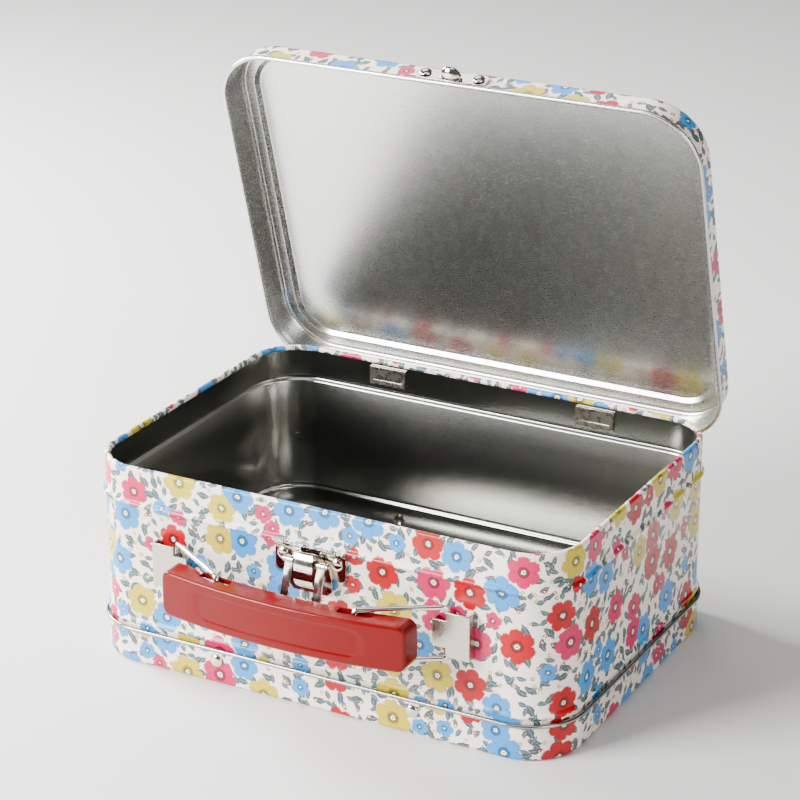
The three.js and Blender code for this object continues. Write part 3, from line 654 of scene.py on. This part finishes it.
# %% Rivets
def rivet(node):
    """A domed rivet from its CAD box: radius r = head cos a, height dome sin a, then a shank and a tail."""
    low, high = (np.array(corner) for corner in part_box(node))
    on_lid = node_body[node] == "lid"
    mesh = frame["nodes"][node].data
    co = np.empty(len(mesh.vertices) * 3)
    mesh.vertices.foreach_get("co", co)
    co = co.reshape(-1, 3)
    if on_lid:
        back = np.array(opened.inverted())
        co = co @ back[:3, :3].T + back[:3, 3]
        low, high = co.min(axis=0), co.max(axis=0)
    front = high[1] < 0
    centre = (low + high) / 2
    head = (high[0] - low[0]) / 2
    away = -1 if front else 1
    out = co[:, 1] * away
    radius = np.hypot(co[:, 0] - centre[0], co[:, 2] - centre[2])
    seat = out[radius > head * 0.98].min()
    top = out.max()
    bottom = out.min()
    a = np.radians(np.linspace(90, 0, 13))
    cap = np.stack([head * np.cos(a), seat + (top - seat) * np.sin(a)], axis=1)
    shank = 1.05 * MM
    tail = np.array([[shank, seat], [shank, bottom]])
    if bottom < seat - 2 * MM or not on_lid:
        hem = radius[out < bottom + 0.51 * MM].max()
        tail = np.array([[shank, seat], [shank, bottom + 0.5 * MM], [hem, bottom + 0.5 * MM],
                         [hem, bottom + 0.25 * MM], [hem * 0.7, bottom]])
    line = np.vstack([cap, tail, [[1e-6, bottom]]])
    turn = np.linspace(0, math.tau, 33)[:-1]
    x = centre[0] + line[:, :1] * np.cos(turn)
    z = centre[2] + line[:, :1] * np.sin(turn)
    y = np.broadcast_to(away * line[:, 1:], x.shape)
    points = np.stack([x, y, z], axis=2).reshape(-1, 3)
    if on_lid:
        points = points @ np.array(opened.to_3x3()).T + np.array(opened.translation)
    r, c = np.arange(len(line) - 1)[:, None], np.arange(32)[None]
    c2 = (c + 1) % 32
    quads = np.stack([r * 32 + c, r * 32 + c2, (r + 1) * 32 + c2, (r + 1) * 32 + c], axis=2).reshape(-1, 4)
    piece = new_piece(node + "_turned", points, quads, [nickel], node_body[node], [node])
    face_outwards(piece.data, weld=0.003 * MM)
    piece.data.shade_smooth()
    piece.data.set_sharp_from_angle(angle=math.radians(50))
    return piece


for node in frame["nodes"]:
    if "rivet" in node:
        rivet(node)

# %% Wire rings
WIRE = 1 * MM
REACH = 34 * MM
RING_HALF_Z = 10.2 * MM
RING_BEND = 2.2 * MM
RING_SWING = math.radians(32)
HANDLE_Z = joints["ring_left_pivot"]["pos_m"][2]


def wire_ring(side):
    """A circle of radius WIRE carried round a rounded rectangle that stands on the pivot line."""
    feet, normals, run = outline(REACH / 2, RING_HALF_Z, RING_BEND, 8)
    a = np.linspace(0, math.tau, 17)[:-1]
    ring = np.stack([WIRE * np.cos(a), WIRE * np.sin(a)], axis=1)
    points, quads, uv, row = shell(ring, (feet, normals, run), closed=True)
    across, up, through = points[:, 0] - side * REACH / 2, points[:, 1], points[:, 2]
    pivot = np.array(joints["ring_left_pivot" if side < 0 else "ring_right_pivot"]["pos_m"])
    cos, sin = math.cos(RING_SWING), math.sin(RING_SWING)
    x = pivot[0] + across * cos - side * through * sin
    y = pivot[1] + side * across * sin + through * cos
    name = "left" if side < 0 else "right"
    piece = new_piece(f"wire_ring_{name}", np.stack([x, y, pivot[2] + up], axis=1), quads, [nickel],
                      f"ring_{name}", [f"handle_ring_{name}"])
    face_outwards(piece.data)
    piece.data.shade_smooth()
    return piece


for side in (-1, 1):
    wire_ring(side)

# %% [markdown]
# ## The red grip
# The grip is a moulded channel: a bowed face with rounded edges, walls turned back all round and an open
# rear. It is again a profile carried round a rounded rectangle, this time seen from the front, and the
# whole result is then bowed. The last rows shrink in height until the surface closes along its middle.

# %% Grip
GRIP_HALF_X = 51 * MM
GRIP_HALF_Z = 8.9 * MM
GRIP_CORNER = 3.5 * MM
GRIP_OUT = 28.5 * MM
GRIP_BOW = 5.5 * MM
GRIP_DEPTH = 9.5 * MM
GRIP_EDGE = 1.1 * MM
GRIP_FACE = 2 * MM
GRIP_WALL = 1.8 * MM
OVAL_HALF_X = 35 * MM
OVAL_HALF_Z = 5.4 * MM
OVAL_DEPTH = 0.35 * MM


def bow(x):
    """How far out the bowed face stands at x: GRIP_OUT - GRIP_BOW (x / half length)^2."""
    return GRIP_OUT - GRIP_BOW * (x / GRIP_HALF_X) ** 2


feet, normals, run = outline(GRIP_HALF_X, GRIP_HALF_Z, GRIP_CORNER, 10, straight=60)
edge = bend_arc(GRIP_EDGE, GRIP_EDGE, GRIP_EDGE, 180, 270, 8)
sides_line = np.vstack([
    edge[::-1],
    [[0, GRIP_DEPTH - 0.3 * MM], [0.3 * MM, GRIP_DEPTH]],
    [[GRIP_WALL - 0.3 * MM, GRIP_DEPTH], [GRIP_WALL, GRIP_DEPTH - 0.3 * MM]],
    [[GRIP_WALL + 0.2 * MM, GRIP_FACE]],
])
shrink = np.linspace(1, 0, 25)[1:]
insets = np.concatenate([np.full(len(shrink), GRIP_EDGE), sides_line[:, 0], np.full(8, GRIP_WALL + 0.2 * MM)])
depths = np.concatenate([np.zeros(len(shrink)), sides_line[:, 1], np.full(8, GRIP_FACE)])
scale = np.concatenate([shrink[::-1], np.ones(len(sides_line)), np.linspace(1, 0, 9)[1:]])
x = feet[None, :, 0] - insets[:, None] * normals[None, :, 0]
z = (feet[None, :, 1] - insets[:, None] * normals[None, :, 1]) * scale[:, None]
stadium = np.hypot(np.clip(np.abs(x) - (OVAL_HALF_X - OVAL_HALF_Z), 0, None), z) - OVAL_HALF_Z
dish = OVAL_DEPTH * np.clip(0.5 - stadium / (0.9 * MM), 0, 1) * (depths[:, None] == 0)
y = -HALF_Y - bow(x) + depths[:, None] + dish
rows, columns = x.shape
points = np.stack([x, y, HANDLE_Z + z], axis=2).reshape(-1, 3)
r, c = np.arange(rows - 1)[:, None], np.arange(columns)[None]
c2 = (c + 1) % columns
quads = np.stack([r * columns + c, r * columns + c2, (r + 1) * columns + c2, (r + 1) * columns + c], axis=2)
grip = new_piece("red_grip", points, quads.reshape(-1, 4), [plastic], "grip", ["handle_grip"])
face_outwards(grip.data, weld=0.01 * MM)

# %% Slots for the wire, cut with a boolean
SLOT_FROM, SLOT_TO = 22.6 * MM, 36 * MM
SLOT_FRONT, SLOT_REAR = 5.05 * MM, 8.35 * MM


def slot_cutter(side):
    """A bar that follows the bow between two depths behind the face, taller than the grip."""
    x = side * np.linspace(SLOT_FROM, SLOT_TO, 12)
    near = np.stack([x, -HALF_Y - bow(x) + SLOT_FRONT], axis=1)
    far = np.stack([x, -HALF_Y - bow(x) + SLOT_REAR], axis=1)[::-1]
    ring = np.vstack([near, far])
    count = len(ring)
    low = np.column_stack([ring, np.full(count, HANDLE_Z - 2 * GRIP_HALF_Z)])
    high = np.column_stack([ring, np.full(count, HANDLE_Z + 2 * GRIP_HALF_Z)])
    faces = [list(range(count)), list(range(count, 2 * count))[::-1]]
    faces += [[i, i + count, (i + 1) % count + count, (i + 1) % count] for i in range(count)]
    mesh = bpy.data.meshes.new("cutter")
    mesh.from_pydata(np.vstack([low, high]).tolist(), [], faces)
    face_outwards(mesh)
    cutter = bpy.data.objects.new("cutter", mesh)
    bpy.context.scene.collection.objects.link(cutter)
    return cutter


cutters = [slot_cutter(side) for side in (-1, 1)]
for cutter in cutters:
    cut = grip.modifiers.new("slot", "BOOLEAN")
    cut.object = cutter
    cut.operation = "DIFFERENCE"
    cut.solver = "EXACT"
shape = bpy.data.meshes.new_from_object(grip.evaluated_get(bpy.context.evaluated_depsgraph_get()))
grip.modifiers.clear()
grip.data = shape
for cutter in cutters:
    bpy.data.objects.remove(cutter)
shape.shade_smooth()
shape.set_sharp_from_angle(angle=math.radians(40))
print("grip", len(shape.vertices), "vertices after the slots")

# %% [markdown]
# ## Table, light and camera
# A pale table top and big soft lights are what a catalogue studio would use. Bare metal shows only
# what it reflects, so the lights are placed for their reflections first: one large panel to the left
# for the front, a dimmer one on the right, soft ones overhead and behind, and a small glow on the table at
# the left, which is what the open lid mirrors as one bright sweep.

# %% Stage
floor_material, tree, shader = new_material("matt_painted_table")
place = add(tree, "TexCoord")
mottle = add(tree, "TexNoise", place.outputs["Object"], 6.0, 3.0)
tone = add(tree, "MapRange", mottle.outputs[0], 0.3, 0.7, 0.52, 0.6)
tree.links.new(tone.outputs[0], shader.inputs["Roughness"])
shader.inputs["Base Color"].default_value = linear("#DAD9D6")
floor_mesh = bpy.data.meshes.new("table_top")
FLOOR = 6.0
floor_mesh.from_pydata([(-FLOOR, -FLOOR, 0), (FLOOR, -FLOOR, 0), (FLOOR, FLOOR, 0), (-FLOOR, FLOOR, 0)], [],
                       [(0, 1, 2, 3)])
floor_mesh.materials.append(floor_material)
floor = bpy.data.objects.new("table_top", floor_mesh)
bpy.context.scene.collection.objects.link(floor)

# %% Lights
world = bpy.data.worlds.new("studio")
world.use_nodes = True
world.node_tree.nodes["Background"].inputs[0].default_value = linear("#C9CCD2")
world.node_tree.nodes["Background"].inputs[1].default_value = 0.2
bpy.context.scene.world = world


def soft_light(name, place, target, size, power):
    """A square area light at place that faces target."""
    data = bpy.data.lights.new(name, "AREA")
    data.size = size
    data.energy = power
    light = bpy.data.objects.new(name, data)
    light.location = place
    light.rotation_euler = (Vector(target) - Vector(place)).to_track_quat("-Z", "Y").to_euler()
    bpy.context.scene.collection.objects.link(light)
    return light


soft_light("left_panel", (-0.9, -1.1, 0.75), (-0.15, -0.15, 0), 0.8, 95)
soft_light("right_panel", (1.3, -0.7, 0.6), (0, 0, 0.05), 0.7, 12)
soft_light("top_panel", (0.1, -0.5, 1.6), (0, 0, 0), 1.0, 6)
soft_light("back_panel", (-0.9, 1.0, 1.6), (0, 0.1, 0.2), 0.9, 9)
soft_light("left_glow", (-0.95, 0.1, 0.5), (-0.32, -0.05, 0), 0.4, 45)

# %% [markdown]
# ## Camera
# A long lens keeps the box's sides nearly parallel, as in a catalogue picture. The camera is turned 28
# degrees to the right of the front and looks down by 22 degrees.

# %% Camera
AZIMUTH = math.radians(28.38)
ELEVATION = math.radians(21.99)
camera_data = bpy.data.cameras.new("camera")
camera_data.lens = 123.7
camera_data.sensor_width = 36
camera = bpy.data.objects.new("camera", camera_data)
camera.location = (461.05 * MM, -858.11 * MM, 491.88 * MM)
look = Vector((-math.sin(AZIMUTH) * math.cos(ELEVATION), math.cos(AZIMUTH) * math.cos(ELEVATION),
               -math.sin(ELEVATION)))
camera.rotation_euler = look.to_track_quat("-Z", "Y").to_euler()
bpy.context.scene.collection.objects.link(camera)
bpy.context.scene.camera = camera
